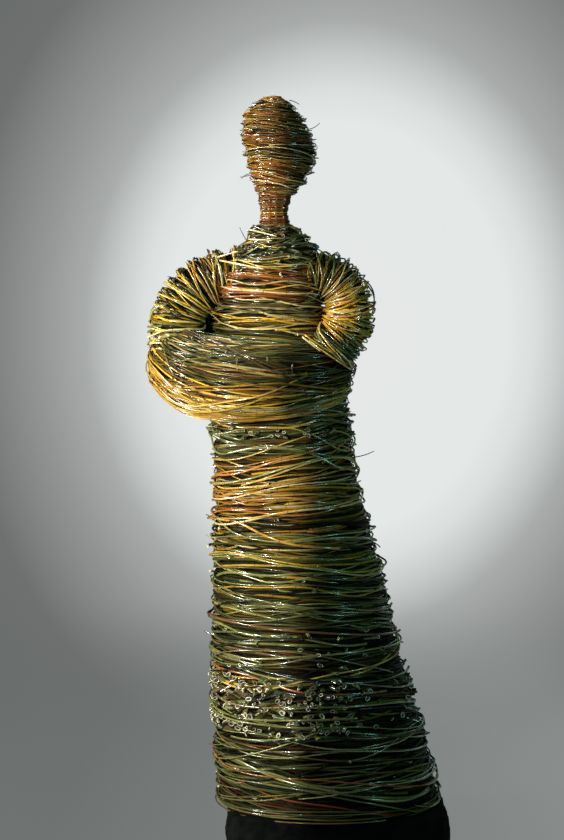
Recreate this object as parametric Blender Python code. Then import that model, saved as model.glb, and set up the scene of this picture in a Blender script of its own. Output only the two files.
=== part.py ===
"""A life-size standing figure with folded arms, wound from willow rods, on a low black base.

Metres, +Z up. The origin is the centre of the base's underside, the figure faces -Y, and its own left arm
is at +X. Thousands of rods are fused here into six solids whose ridges stand for the hanks of rods.
"""
import math

import bmesh
import bpy
from mathutils import Vector, noise

CLEARANCE = 0.0003      # between two bundles that touch

# The base, a rough slab.
BASE_WIDTH = 0.530
BASE_DEPTH = 0.480
BASE_HEIGHT = 0.080
BASE_CHIP = 0.007       # how far its broken sides wander
BASE_EDGE = 0.006       # worn off the top edge
BASE_SIDES = 40
BASE_SQUARENESS = 9     # power of the rounded square, 2 for a circle
CHIP_ROUND = 3.1        # how many chips go round the slab
CHIP_RISE = 1.7         # how many go up it
CHIP_START = 4.0        # where in the noise the chips begin
BASE_LEVELS = [         # share of the height, and how far the side stands in there
    (0.0, 0.003),
    (0.30, 0.0),
    (0.62, 0.002),
    (1.0 - BASE_EDGE / BASE_HEIGHT, 0.001),
    (1.0, BASE_EDGE),
]

# The figure, from hem to crown. Its pose and proportions below are shares of this height.
FIGURE_HEIGHT = 1.695
NECK_OFFSET = -0.154    # from the middle of the base to the neck's axis

# The winding.
HANK_RIDGE = 0.0065     # how far a hank of rods stands out between its neighbours
STAKE_RIDGE = 0.0020    # the same for the upright stakes in the neck
WINDING_TILT = 0.050    # slope of a turn round the body
HEAD_TILT = -0.110      # slope of a turn round the head, which falls towards the figure's left
RIDGE_SHARE = 0.50      # share of a ridge that stands out of the mean skin, and that dips below it
HEAD_RIDGE_SHARE = 0.35
BODY_FADE = (8, 16)     # rows over which the tilt fades, at the hem and at the collar
HEAD_FADE = (6, 8)      # the same below and above the head
SLOW_SWING = 0.37       # radians from row to row: the tilt swings slowly,
QUICK_SWING = 0.83      # and quickly
QUICK_SHARE = 0.6
QUICK_START = 1.0
TILT_TURN = 0.11        # radians that a tilt's direction turns from row to row
HEAD_SWAY = 0.4         # radians that the head's tilt sways to each side
HEAD_SWAY_STEP = 0.5
END_SIZE = 0.55         # the ring that closes a blunt end, as a share of the ring before it
END_DROP = 0.35         # how far it stands off, as a share of the bundle's radius

BODY_HANKS = 36
BODY_SIDES = 28
HEAD_HANKS = 13
NECK_ROWS = 5
HEAD_SIDES = 24
ARM_LOOPS = 17
ARM_SIDES = 14
SHEAF_ROWS = 20
SHEAF_SIDES = 22

# Height, middle to the side of the neck's axis, half width and half depth, from the hem to the collar's top.
BODY_STATIONS = [
    (0.000, 0.076, 0.158, 0.154),
    (0.141, 0.056, 0.142, 0.139),
    (0.314, 0.033, 0.121, 0.117),
    (0.486, 0.014, 0.100, 0.092),
    (0.611, 0.003, 0.096, 0.080),
    (0.691, -0.006, 0.083, 0.071),
    (0.753, -0.008, 0.065, 0.059),
    (0.790, 0.006, 0.051, 0.049),
    (0.808, 0.002, 0.036, 0.036),
    (0.820, 0.000, 0.023, 0.023),
]
# The same for the neck and the head, where the first station sits on the collar.
NECK_STATIONS = [
    (0.820, 0.000, 0.021, 0.021),
    (0.838, -0.001, 0.018, 0.018),
    (0.861, 0.000, 0.024, 0.025),
]
HEAD_STATIONS = [
    (0.861, 0.000, 0.024, 0.025),
    (0.883, 0.005, 0.037, 0.040),
    (0.906, 0.007, 0.046, 0.050),
    (0.929, 0.007, 0.051, 0.056),
    (0.952, 0.003, 0.048, 0.054),
    (0.974, -0.001, 0.039, 0.044),
    (0.989, -0.001, 0.026, 0.029),
    (1.000, -0.001, 0.008, 0.009),
]
# Places along the middle of each arm, from the shoulder on: to the side, to the front and up, then its radius.
RIGHT_ARM_PATH = [
    (-0.046, 0.000, 0.750, 0.036),
    (-0.088, -0.003, 0.743, 0.038),
    (-0.118, -0.012, 0.722, 0.038),
    (-0.136, -0.030, 0.692, 0.037),
    (-0.139, -0.044, 0.655, 0.035),
    (-0.138, -0.046, 0.630, 0.028),
]
LEFT_ARM_PATH = [
    (0.034, 0.000, 0.748, 0.032),
    (0.070, -0.005, 0.749, 0.034),
    (0.095, -0.018, 0.731, 0.034),
    (0.105, -0.040, 0.702, 0.034),
    (0.101, -0.066, 0.674, 0.034),
    (0.084, -0.094, 0.652, 0.034),
    (0.058, -0.116, 0.640, 0.031),
]
# Places along the sheaf, from behind the right elbow to the left side, then its half height and half thickness.
SHEAF_PATH = [
    (-0.084, 0.020, 0.634, 0.030, 0.026),
    (-0.132, -0.002, 0.633, 0.044, 0.036),
    (-0.140, -0.044, 0.625, 0.050, 0.037),
    (-0.108, -0.088, 0.611, 0.057, 0.037),
    (-0.060, -0.113, 0.604, 0.056, 0.036),
    (-0.004, -0.117, 0.604, 0.053, 0.036),
    (0.048, -0.107, 0.608, 0.048, 0.034),
    (0.083, -0.080, 0.613, 0.042, 0.027),
    (0.096, -0.034, 0.618, 0.032, 0.016),
]
SHEAF_TWIST = math.radians(-50.0)   # how far its rods turn round it from end to end

# Colour and roughness of each finish.
BARK = ((0.30, 0.19, 0.06), 0.42)
BROWN_BARK = ((0.25, 0.12, 0.04), 0.45)
BLACK = ((0.008, 0.008, 0.008), 0.85)


def clear_scene():
    for item in list(bpy.data.objects):
        bpy.data.objects.remove(item, do_unlink=True)


def material(name, colour, roughness):
    finish = bpy.data.materials.new(name)
    finish.use_nodes = True
    shader = finish.node_tree.nodes["Principled BSDF"]
    shader.inputs["Base Color"].default_value = (*colour, 1.0)
    shader.inputs["Roughness"].default_value = roughness
    shader.inputs["Metallic"].default_value = 0.0
    return finish


def between(stations, position):
    """A smooth value between the stations, for a position that counts them from 0."""
    last = len(stations) - 1
    first = min(int(position), last - 1)
    share = position - first
    before, start, end, after = (stations[min(max(first + step, 0), last)] for step in (-1, 0, 1, 2))
    values = []
    for a, b, c, d in zip(before, start, end, after):
        bend = b + 0.5 * share * (c - a + share * (2 * a - 5 * b + 4 * c - d + share * (3 * b - 3 * c + d - a)))
        values.append(bend)
    return values


def at_height(stations, height):
    """The stations' values at a height, which is their first value."""
    for index in range(len(stations) - 1):
        low, high = stations[index][0], stations[index + 1][0]
        if height <= high or index == len(stations) - 2:
            share = min(max((height - low) / (high - low), 0.0), 1.0)
            return between(stations, index + share)
    return list(stations[-1])


def in_figure(side, front, height):
    """A place given in shares of the figure's height."""
    hem = BASE_HEIGHT + CLEARANCE
    return Vector((NECK_OFFSET + side * FIGURE_HEIGHT, front * FIGURE_HEIGHT, hem + height * FIGURE_HEIGHT))


def loft(name, rows, finish):
    """One closed solid, raised from a disc row by row and split into triangles."""
    shape = bmesh.new()
    bmesh.ops.create_circle(shape, cap_ends=True, segments=len(rows[0]), radius=1.0)
    shape.faces.ensure_lookup_table()
    top = shape.faces[0]
    for vertex, place in zip(top.verts, rows[0]):
        vertex.co = place
    first_edges = list(top.edges)
    for row in rows[1:]:
        top = bmesh.ops.extrude_discrete_faces(shape, faces=[top])["faces"][0]
        for vertex, place in zip(top.verts, row):
            vertex.co = place
    bmesh.ops.holes_fill(shape, edges=[edge for edge in first_edges if edge.is_valid], sides=len(rows[0]))
    bmesh.ops.recalc_face_normals(shape, faces=shape.faces)
    # A solid and the cutter that clears it are split along the same diagonals, which keeps the gap even.
    bmesh.ops.triangulate(shape, faces=shape.faces, quad_method="FIXED")
    mesh = bpy.data.meshes.new(name)
    shape.to_mesh(mesh)
    shape.free()
    solid = bpy.data.objects.new(name, mesh)
    solid.data.materials.append(finish)
    bpy.context.scene.collection.objects.link(solid)
    return solid


def hank_ridge(index, share=RIDGE_SHARE):
    """Even rows dip between two hanks, and odd rows lie on a hank."""
    return HANK_RIDGE * (-share if index % 2 == 0 else share)


def tilt_fade(index, count, fade):
    """From 0 at either end of a winding to 1 in its middle."""
    return min(index / fade[0], (count - index) / fade[1], 1.0)


def upright_rows(stations, heights, ridges, tilts, sides, grow=0.0, stakes=None):
    """Level rings round an upright bundle, each tilted a little as a turn of rods is."""
    rows = []
    for index, height in enumerate(heights):
        _, side, half_width, half_depth = at_height(stations, height)
        middle = in_figure(side, 0.0, height)
        slope, phase = tilts[index]
        stake = stakes[index] if stakes else 0.0
        row = []
        for step in range(sides):
            angle = math.tau * step / sides
            out = ridges[index] + grow + stake * (1 if step % 2 else -1)
            x = (half_width * FIGURE_HEIGHT + out) * math.cos(angle)
            y = (half_depth * FIGURE_HEIGHT + out) * math.sin(angle)
            reach = half_width * FIGURE_HEIGHT
            row.append(middle + Vector((x, y, slope * reach * math.cos(angle - phase))))
        rows.append(row)
    return rows


def body_solid(name, finish, grow=0.0):
    """Skirt, torso and collar."""
    count = 2 * BODY_HANKS
    top = BODY_STATIONS[-1][0]
    heights = [top * index / count for index in range(count + 1)]
    ridges = [hank_ridge(index) for index in range(count + 1)]
    tilts = []
    for index in range(count + 1):
        fade = tilt_fade(index, count, BODY_FADE)
        swing = math.sin(index * SLOW_SWING) + QUICK_SHARE * math.sin(index * QUICK_SWING + QUICK_START)
        tilts.append((WINDING_TILT * fade * swing, index * TILT_TURN))
    rows = upright_rows(BODY_STATIONS, heights, ridges, tilts, BODY_SIDES, grow)
    if grow:
        rows[0] = [place - Vector((0.0, 0.0, grow)) for place in rows[0]]
        rows[-1] = [place + Vector((0.0, 0.0, grow)) for place in rows[-1]]
    return loft(name, rows, finish)


def head_solid(name, finish):
    """The neck with its stakes, and the egg-shaped head."""
    neck_top = HEAD_STATIONS[0][0]
    neck_start = NECK_STATIONS[0][0]
    crown = HEAD_STATIONS[-1][0]
    seat = CLEARANCE / FIGURE_HEIGHT
    neck = [neck_start + seat + (neck_top - neck_start - seat) * index / NECK_ROWS for index in range(NECK_ROWS)]
    rows = upright_rows(NECK_STATIONS, neck, [0.0] * NECK_ROWS, [(0.0, 0.0)] * NECK_ROWS, HEAD_SIDES,
                        stakes=[STAKE_RIDGE] * NECK_ROWS)
    count = 2 * HEAD_HANKS
    shares = [math.sin(math.pi / 2 * index / count) for index in range(count + 1)]
    heights = [neck_top + (crown - neck_top) * share for share in shares]
    ridges = [hank_ridge(index, HEAD_RIDGE_SHARE) for index in range(count)] + [0.0]
    tilts = []
    for index in range(count + 1):
        fade = tilt_fade(index, count, HEAD_FADE)
        tilts.append((HEAD_TILT * fade, HEAD_SWAY * math.sin(index * HEAD_SWAY_STEP)))
    rows += upright_rows(HEAD_STATIONS, heights, ridges, tilts, HEAD_SIDES)
    return loft(name, rows, finish)


def path_rows(path, count, sides, half_sizes, out, twist=0.0):
    """Rings across a bundle that follows a path, with `out` giving each point's ridge."""
    last = len(path) - 1
    middles = []
    sizes = []
    for index in range(count + 1):
        values = between(path, last * index / count)
        middles.append(in_figure(*values[:3]))
        sizes.append([value * FIGURE_HEIGHT for value in half_sizes(values)])
    rows = []
    for index, middle in enumerate(middles):
        ahead = middles[min(index + 1, count)] - middles[max(index - 1, 0)]
        across = ahead.cross(Vector((0.0, 1.0, 0.0)) if twist == 0.0 else Vector((0.0, 0.0, 1.0))).normalized()
        upward = across.cross(ahead).normalized()
        row = []
        for step in range(sides):
            angle = math.tau * step / sides + twist * index / count
            ridge = out(index, step)
            thick, tall = sizes[index]
            row.append(middle + across * (thick + ridge) * math.cos(angle) + upward * (tall + ridge) * math.sin(angle))
        rows.append(row)
    return rows


def rounded_ends(rows, drop):
    """Adds a smaller ring before the first row and after the last, so that the ends are blunt and round."""
    def ring(row, inward):
        middle = sum(row, Vector()) / len(row)
        return [middle + (place - middle) * END_SIZE + inward for place in row]
    start = sum(rows[0], Vector()) / len(rows[0]) - sum(rows[1], Vector()) / len(rows[1])
    end = sum(rows[-1], Vector()) / len(rows[-1]) - sum(rows[-2], Vector()) / len(rows[-2])
    return [ring(rows[0], start.normalized() * drop)] + rows + [ring(rows[-1], end.normalized() * drop)]


def arm_solid(name, path, finish, grow=0.0):
    """An upper arm, a bent roll whose ridges are its radial loops."""
    def out(index, _step):
        return grow + hank_ridge(index)
    rows = path_rows(path, 2 * ARM_LOOPS, ARM_SIDES, lambda values: (values[3], values[3]), out)
    return loft(name, rounded_ends(rows, path[-1][3] * FIGURE_HEIGHT * END_DROP + grow), finish)


def sheaf_solid(name, finish, grow=0.0):
    """The folded forearms, whose ridges run along them and turn slowly round."""
    def out(_index, step):
        return grow + hank_ridge(step)
    rows = path_rows(SHEAF_PATH, SHEAF_ROWS, SHEAF_SIDES, lambda values: (values[4], values[3]), out, SHEAF_TWIST)
    return loft(name, rounded_ends(rows, SHEAF_PATH[0][4] * FIGURE_HEIGHT * END_DROP + grow), finish)


def base_solid(name, finish):
    """A low slab with broken sides, a flat underside and a flat top."""
    rows = []
    for level, inset in BASE_LEVELS:
        row = []
        for step in range(BASE_SIDES):
            angle = math.tau * step / BASE_SIDES
            x, y = math.cos(angle), math.sin(angle)
            square = (abs(x) ** BASE_SQUARENESS + abs(y) ** BASE_SQUARENESS) ** (-1 / BASE_SQUARENESS)
            chip = noise.noise(Vector((x * CHIP_ROUND, y * CHIP_ROUND, level * CHIP_RISE + CHIP_START))) * BASE_CHIP
            row.append(Vector((x * (square * BASE_WIDTH / 2 - inset + chip),
                               y * (square * BASE_DEPTH / 2 - inset + chip), level * BASE_HEIGHT)))
        rows.append(row)
    return loft(name, rows, finish)


def cut(solid, cutter):
    """Takes the cutter's shape out of the solid and hides the cutter."""
    tool = solid.modifiers.new("clear of " + cutter.name, "BOOLEAN")
    tool.operation = "DIFFERENCE"
    tool.solver = "EXACT"
    tool.object = cutter
    cutter.hide_render = True
    cutter.display_type = "WIRE"


def build():
    clear_scene()
    bark = material("willow bark", *BARK)
    brown = material("brown willow bark", *BROWN_BARK)
    black = material("blackened base", *BLACK)
    base_solid("base", black)
    body_solid("body", bark)
    head_solid("head_and_neck", brown)
    body_cutter = body_solid("room for the body", bark, CLEARANCE)
    left_cutter = arm_solid("room for the left arm", LEFT_ARM_PATH, bark, CLEARANCE)
    sheaf_cutter = sheaf_solid("room for the sheaf", bark, CLEARANCE)
    left_arm = arm_solid("left_arm", LEFT_ARM_PATH, bark)
    cut(left_arm, body_cutter)
    forearms = sheaf_solid("forearms", bark)
    cut(forearms, body_cutter)
    cut(forearms, left_cutter)
    right_arm = arm_solid("right_arm", RIGHT_ARM_PATH, bark)
    cut(right_arm, body_cutter)
    cut(right_arm, sheaf_cutter)


build()
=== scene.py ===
# %% [markdown]
# # A figure wound from willow rods
#
# This lesson dresses the plain solids of a life-size standing figure. The real one is wound from willow:
# long thin rods, laid in hanks round the skirt, the torso and the arms, with their cut ends left showing.
# Each bundle becomes hundreds of modelled rods. The solids give every place and size, so nothing is moved.

# %% Load the frame
import math
from collections import namedtuple

import bmesh
import bpy
import numpy as np
from mathutils import Matrix, Vector, noise


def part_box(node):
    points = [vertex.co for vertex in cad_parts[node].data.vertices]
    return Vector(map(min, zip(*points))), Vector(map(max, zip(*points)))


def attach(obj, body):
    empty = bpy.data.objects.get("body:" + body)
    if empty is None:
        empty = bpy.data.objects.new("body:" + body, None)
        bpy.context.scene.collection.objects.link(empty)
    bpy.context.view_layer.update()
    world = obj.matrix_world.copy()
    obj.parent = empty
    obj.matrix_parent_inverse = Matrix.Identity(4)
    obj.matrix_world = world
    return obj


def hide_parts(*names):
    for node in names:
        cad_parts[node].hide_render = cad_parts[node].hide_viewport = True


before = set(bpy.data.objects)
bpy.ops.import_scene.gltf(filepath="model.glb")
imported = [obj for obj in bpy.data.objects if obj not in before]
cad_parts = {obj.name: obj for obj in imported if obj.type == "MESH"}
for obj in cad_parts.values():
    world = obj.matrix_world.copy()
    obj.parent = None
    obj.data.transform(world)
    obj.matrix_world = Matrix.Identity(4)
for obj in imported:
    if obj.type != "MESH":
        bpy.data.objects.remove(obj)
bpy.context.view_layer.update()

# %% [markdown]
# ## Camera
#
# The photograph was taken from well back through a long lens, from the height of the figure's chest. A tilt
# of three degrees puts the crown and the base where the photograph has them.

# %% Camera
CAMERA_PLACE = (-0.137, -5.40, 1.29)
CAMERA_TILT = 3.07          # degrees below level
CAMERA_LENS = 96.0          # mm, on a 36 mm long side

lens = bpy.data.cameras.new("camera")
lens.lens = CAMERA_LENS
lens.sensor_width = 36.0
camera = bpy.data.objects.new("camera", lens)
camera.location = CAMERA_PLACE
camera.rotation_euler = (math.radians(90.0 - CAMERA_TILT), 0.0, 0.0)
bpy.context.scene.collection.objects.link(camera)
bpy.context.scene.camera = camera
print("camera stands", round(-CAMERA_PLACE[1], 2), "m away, at", CAMERA_PLACE[2], "m")

# %% [markdown]
# ## Forms to wind on
#
# Every bundle is a soft roll: a middle line with an oval round it. A form answers one question: where is
# the point at this angle round the roll, this far along it, and this far out from its skin? With that, the
# same winding works for the skirt, the head and a bent arm. Upright forms are measured on the solids, and
# the bent ones follow the same few places that the solids were drawn through.

# %% A form
FORM_STEPS = 240


class Form:
    """A roll with a middle line, two directions across it and two half sizes, all by distance along."""

    def __init__(self, middles, first, second, half_first, half_second):
        self.middles, self.first, self.second = middles, first, second
        self.half_first, self.half_second = half_first, half_second
        self.radius = (half_first + half_second) / 2
        steps = np.linalg.norm(np.diff(middles, axis=0), axis=1)
        self.along = np.concatenate([[0.0], np.cumsum(np.hypot(steps, np.diff(self.radius)))])
        self.length = float(self.along[-1])

    def read(self, values, climb):
        if values.ndim == 1:
            return np.interp(climb, self.along, values)
        return np.stack([np.interp(climb, self.along, values[:, axis]) for axis in range(3)], axis=1)

    def radius_at(self, climb):
        return float(np.interp(climb, self.along, self.radius))

    def place(self, angle, climb, out):
        climb = np.clip(climb, 0.0, self.length)
        wide = (self.read(self.half_first, climb) + out) * np.cos(angle)
        deep = (self.read(self.half_second, climb) + out) * np.sin(angle)
        return (self.read(self.middles, climb) + self.read(self.first, climb) * wide[:, None]
                + self.read(self.second, climb) * deep[:, None])

    def climb_at(self, height):
        """How far along the form reaches this height, for an upright form."""
        return float(np.interp(height, self.middles[:, 2], self.along))


# %% Measure an upright form
THIN_SLICE = 0.35           # the thinnest slice, right under the top, as a share of a full one
DOME = 0.12                 # m below the top over which the slices get thinner
FEW_POINTS, NEAREST_POINTS = 4, 24


def smooth(values, times=3):
    for _ in range(times):
        inner = (values[:-2] + 2 * values[1:-1] + values[2:]) / 4
        values = np.concatenate([values[:1], inner, values[-1:]])
    return values


def upright_form(node, low=None, high=None, reach=0.022):
    """Measures an upright solid in slices that reach this far up and down."""
    points = np.array([vertex.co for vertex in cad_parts[node].data.vertices])
    low = points[:, 2].min() if low is None else low
    high = points[:, 2].max() if high is None else high
    heights = np.linspace(low, high, FORM_STEPS)
    rows = []
    for height in heights:
        away = np.abs(points[:, 2] - height)
        slice_reach = reach * (THIN_SLICE + (1 - THIN_SLICE) * min(1.0, (high - height) / DOME))
        band = points[away < slice_reach]
        if len(band) < FEW_POINTS:
            band = points[np.argsort(away)[:NEAREST_POINTS]]
        lowest, highest = band.min(axis=0), band.max(axis=0)
        rows.append([*(lowest + highest)[:2] / 2, *(highest - lowest)[:2] / 2])
    centre_x, centre_y, half_x, half_y = (smooth(column) for column in np.array(rows).T)
    middles = np.stack([centre_x, centre_y, heights], axis=1)
    first = np.tile([1.0, 0.0, 0.0], (FORM_STEPS, 1))
    second = np.tile([0.0, 1.0, 0.0], (FORM_STEPS, 1))
    return Form(middles, first, second, half_x, half_y)


# %% Bent forms
figure_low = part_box("body")[0].z
figure_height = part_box("head_and_neck")[1].z - figure_low
NECK_AXIS = -0.154          # x of the neck
NECK_TOP = figure_low + 0.861 * figure_height
NECK_OVERLAP = 0.020        # m that the neck's winding runs up into the head
FINE_SLICE = 0.012

# The middle of each arm and of the sheaf, as shares of the figure's height: side, front and up, then the
# half sizes.
RIGHT_ARM_PATH = [
    (-0.046, 0.000, 0.750, 0.036, 0.036),
    (-0.088, -0.003, 0.743, 0.038, 0.038),
    (-0.118, -0.012, 0.722, 0.038, 0.038),
    (-0.136, -0.030, 0.692, 0.037, 0.037),
    (-0.139, -0.044, 0.655, 0.035, 0.035),
    (-0.138, -0.046, 0.630, 0.028, 0.028),
]
LEFT_ARM_PATH = [
    (0.034, 0.000, 0.748, 0.032, 0.032),
    (0.070, -0.005, 0.749, 0.034, 0.034),
    (0.095, -0.018, 0.731, 0.034, 0.034),
    (0.105, -0.040, 0.702, 0.034, 0.034),
    (0.101, -0.066, 0.674, 0.034, 0.034),
    (0.086, -0.092, 0.653, 0.034, 0.034),
    (0.075, -0.104, 0.637, 0.033, 0.033),
]
SHEAF_PATH = [
    (-0.084, 0.020, 0.634, 0.026, 0.030),
    (-0.132, -0.002, 0.633, 0.036, 0.044),
    (-0.140, -0.044, 0.625, 0.037, 0.050),
    (-0.108, -0.088, 0.611, 0.037, 0.057),
    (-0.060, -0.113, 0.604, 0.036, 0.056),
    (-0.004, -0.117, 0.604, 0.036, 0.053),
    (0.048, -0.107, 0.608, 0.034, 0.048),
    (0.083, -0.080, 0.613, 0.027, 0.042),
    (0.096, -0.034, 0.618, 0.016, 0.032),
]

def curve_through(path):
    """A smooth run of values through the path's places."""
    path = np.array(path)
    last = len(path) - 1
    rows = []
    for position in np.linspace(0.0, last, FORM_STEPS):
        first = min(int(position), last - 1)
        t = position - first
        a, b, c, d = (path[min(max(first + step, 0), last)] for step in (-1, 0, 1, 2))
        rows.append(b + 0.5 * t * (c - a + t * (2 * a - 5 * b + 4 * c - d + t * (3 * b - 3 * c + d - a))))
    return np.array(rows)


def bent_form(path, reference, flat=False):
    """A form along a path, whose first direction across is square to the reference direction.

    With flat, its rings hold the reference direction too, so they look like lines from the front."""
    values = curve_through(path)
    middles = np.stack([NECK_AXIS + values[:, 0] * figure_height, values[:, 1] * figure_height,
                        figure_low + values[:, 2] * figure_height], axis=1)
    ahead = np.gradient(middles, axis=0)
    if flat:
        ahead -= np.outer(ahead @ np.array(reference), reference)
    first = np.cross(ahead, reference)
    first /= np.linalg.norm(first, axis=1)[:, None]
    second = np.cross(first, ahead)
    second /= np.linalg.norm(second, axis=1)[:, None]
    return Form(middles, first, second, values[:, 3] * figure_height, values[:, 4] * figure_height)


body_form = upright_form("body")
head_form = upright_form("head_and_neck", low=NECK_TOP, reach=FINE_SLICE)
neck_form = upright_form("head_and_neck", high=NECK_TOP + NECK_OVERLAP, reach=FINE_SLICE)
right_arm_form = bent_form(RIGHT_ARM_PATH, (0.0, 1.0, 0.0), flat=True)
left_arm_form = bent_form(LEFT_ARM_PATH, (0.0, 1.0, 0.0), flat=True)
sheaf_form = bent_form(SHEAF_PATH, (0.0, 0.0, 1.0))
for name, form in (("body", body_form), ("head", head_form), ("neck", neck_form),
                   ("right arm", right_arm_form), ("left arm", left_arm_form), ("sheaf", sheaf_form)):
    print(name, "is", round(form.length, 3), "m along, radius", round(form.radius_at(form.length / 2), 3))

# %% [markdown]
# ## Willow colours
#
# Dried willow keeps its bark, and each variety dries to its own colour: gold, orange-brown, red-brown,
# olive or nearly black. A rod carries one number, its tone, which a colour ramp turns into bark. Another
# number counts the metres from its butt, so that leaf scars and patches follow the rod.

# %% Tones
DARK, OLIVE, MOSS, BROWN, RED_BROWN, ORANGE, GOLD, PALE = (index / 7 for index in range(8))
BARK = [
    (0.014, 0.019, 0.010),
    (0.085, 0.090, 0.024),
    (0.250, 0.240, 0.060),
    (0.125, 0.084, 0.030),
    (0.330, 0.070, 0.014),
    (0.400, 0.160, 0.026),
    (0.700, 0.385, 0.012),
    (0.640, 0.500, 0.210),
]

# %% [markdown]
# ## Building materials
#
# A material is a tree of nodes. A few small helpers keep each finish short: one adds a node with its values
# and links, and the others add the kinds that every finish here needs.

# %% Material helpers
def feed(tree, target, inputs):
    """Gives each socket, by name or number, its value or another node's output."""
    for socket, value in inputs.items():
        if isinstance(value, bpy.types.NodeSocket):
            tree.links.new(value, target.inputs[socket])
        else:
            target.inputs[socket].default_value = value


def node(tree, kind, inputs=None, **settings):
    made = tree.nodes.new(kind)
    for key, value in settings.items():
        setattr(made, key, value)
    feed(tree, made, inputs or {})
    return made


def span(tree, value, was, becomes, **settings):
    """Maps a range of values to another."""
    ends = {"From Min": was[0], "From Max": was[1], "To Min": becomes[0], "To Max": becomes[1]}
    return node(tree, "ShaderNodeMapRange", {"Value": value, **ends}, **settings).outputs["Result"]


def ramp(tree, value, stops):
    """Colours by value, from pairs of a place and its colour."""
    made = node(tree, "ShaderNodeValToRGB", {"Fac": value})
    elements = made.color_ramp.elements
    elements[0].position, elements[1].position = stops[0][0], stops[-1][0]
    for place, _colour in stops[1:-1]:
        elements.new(place)
    for element, (_place, colour) in zip(elements, stops):
        element.color = (*colour, 1.0)
    return made.outputs["Color"]


def object_noise(tree, scale, detail=2.0):
    inputs = {"Vector": node(tree, "ShaderNodeTexCoord").outputs["Object"], "Scale": scale, "Detail": detail}
    return node(tree, "ShaderNodeTexNoise", inputs).outputs["Fac"]


def bump(tree, height, strength, distance):
    inputs = {"Height": height, "Strength": strength, "Distance": distance}
    return node(tree, "ShaderNodeBump", inputs).outputs["Normal"]


def new_material(name, roughness):
    finish = bpy.data.materials.new(name)
    finish.use_nodes = True
    shader = finish.node_tree.nodes["Principled BSDF"]
    shader.inputs["Roughness"].default_value = roughness
    return finish, finish.node_tree, shader


# %% [markdown]
# ## Patches and scars along a rod
#
# Two effects are needed on every rod, so they are one node group: soft patches where the bark has weathered
# and narrow dark rings where a leaf grew. Both read the rod's own length and tone, never the camera.

# %% Bark group
PATCH_SCALE = 16.0
TONE_SPREAD = 57.0          # moves rods of different tones to different places in the noise
SCAR_STEP = 0.027           # m, half the distance between two leaf scars
SCAR_WIDTH = 0.0016         # m


def bark_group():
    group = bpy.data.node_groups.new("bark_marks", "ShaderNodeTree")
    for label, way in (("Along", "INPUT"), ("Tone", "INPUT"), ("Patch", "OUTPUT"), ("Scar", "OUTPUT")):
        group.interface.new_socket(label, in_out=way, socket_type="NodeSocketFloat")
    source = node(group, "NodeGroupInput").outputs
    row = node(group, "ShaderNodeMath", {0: source["Tone"], 1: TONE_SPREAD}, operation="MULTIPLY")
    where = node(group, "ShaderNodeCombineXYZ", {"X": source["Along"], "Y": row.outputs[0]})
    patch = node(group, "ShaderNodeTexNoise",
                 {"Vector": where.outputs[0], "Scale": PATCH_SCALE, "Detail": 2.0})
    past = node(group, "ShaderNodeMath", {0: source["Along"], 1: SCAR_STEP}, operation="PINGPONG")
    scar = span(group, past.outputs[0], (0.0, SCAR_WIDTH), (1.0, 0.0))
    node(group, "NodeGroupOutput", {"Patch": patch.outputs["Fac"], "Scar": scar})
    return group


marks = bark_group()
print("bark group gives", [item.name for item in marks.interface.items_tree if item.in_out == "OUTPUT"])


# %% Bark material
PATCHES = (0.3, 0.7)                # the noise's useful range
PATCH_LIGHT = (0.52, 1.25)          # weathered bark, fresh bark
PATCH_ROUGHNESS = (-0.10, 0.16)
SCAR_COLOUR = (0.045, 0.025, 0.012, 1.0)
DULL, SHINY = 0.45, 0.88            # shades of the rods with no coat and with all of it
COAT = {"Coat Roughness": 0.17, "Coat IOR": 2.1, "Specular IOR Level": 0.05}


def bark_material(name, roughness, coat):
    """Bark whose colour comes from each rod's tone, a little lighter and darker along it.

    A rod's shade value scales its colour, and a low one takes away its coat, the bark's own wax. It differs
    at random from rod to rod, and is set low on the rods underneath as painted shade, so these are dark and
    dull."""
    finish, tree, shader = new_material(name, roughness)
    tone, along, shade = (node(tree, "ShaderNodeAttribute", attribute_name=label).outputs["Fac"]
                          for label in ("tone", "along", "shade"))
    colour = ramp(tree, tone, [(index / (len(BARK) - 1), colour) for index, colour in enumerate(BARK)])
    effect = node(tree, "ShaderNodeGroup", {"Along": along, "Tone": tone}, node_tree=marks).outputs
    lift = span(tree, effect["Patch"], PATCHES, PATCH_LIGHT)
    strength = node(tree, "ShaderNodeMath", {0: lift, 1: shade}, operation="MULTIPLY").outputs[0]
    tinted = node(tree, "ShaderNodeVectorMath", {0: colour, "Scale": strength}, operation="SCALE").outputs[0]
    scarred = node(tree, "ShaderNodeMix", {"Factor": effect["Scar"], "A": tinted, "B": SCAR_COLOUR},
                   data_type="RGBA")
    gloss = span(tree, effect["Patch"], PATCHES, [roughness + change for change in PATCH_ROUGHNESS])
    sheen = span(tree, shade, (DULL, SHINY), (0.0, coat))
    feed(tree, shader, {"Base Color": scarred.outputs["Result"], "Roughness": gloss, "Coat Weight": sheen,
                        "Normal": bump(tree, effect["Scar"], 0.35, 0.0006), **COAT})
    return finish


# %% [markdown]
# ## Cut wood, old windings and the base
#
# A cut end shows pale wood round a darker pith. The deep windings are painted shade, nearly black, and the
# base is blackened and dull. Noise on the object's own coordinates gives each of them its blotches.

# %% Other materials
def cut_wood_material():
    finish, tree, shader = new_material("cut_wood", 0.6)
    pale = ramp(tree, object_noise(tree, 420.0), [(0.0, (0.34, 0.29, 0.18)), (1.0, (0.62, 0.57, 0.44))])
    feed(tree, shader, {"Base Color": pale})
    return finish


def blotched_material(name, low, high, scale, roughness, depth):
    """A dull finish with soft blotches between two colours and a matching grain in relief."""
    finish, tree, shader = new_material(name, roughness)
    grain = object_noise(tree, scale, 6.0)
    feed(tree, shader, {"Base Color": ramp(tree, grain, [(0.35, low), (0.70, high)]),
                        "Normal": bump(tree, grain, 0.6, depth), "Specular IOR Level": 0.05})
    return finish


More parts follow.
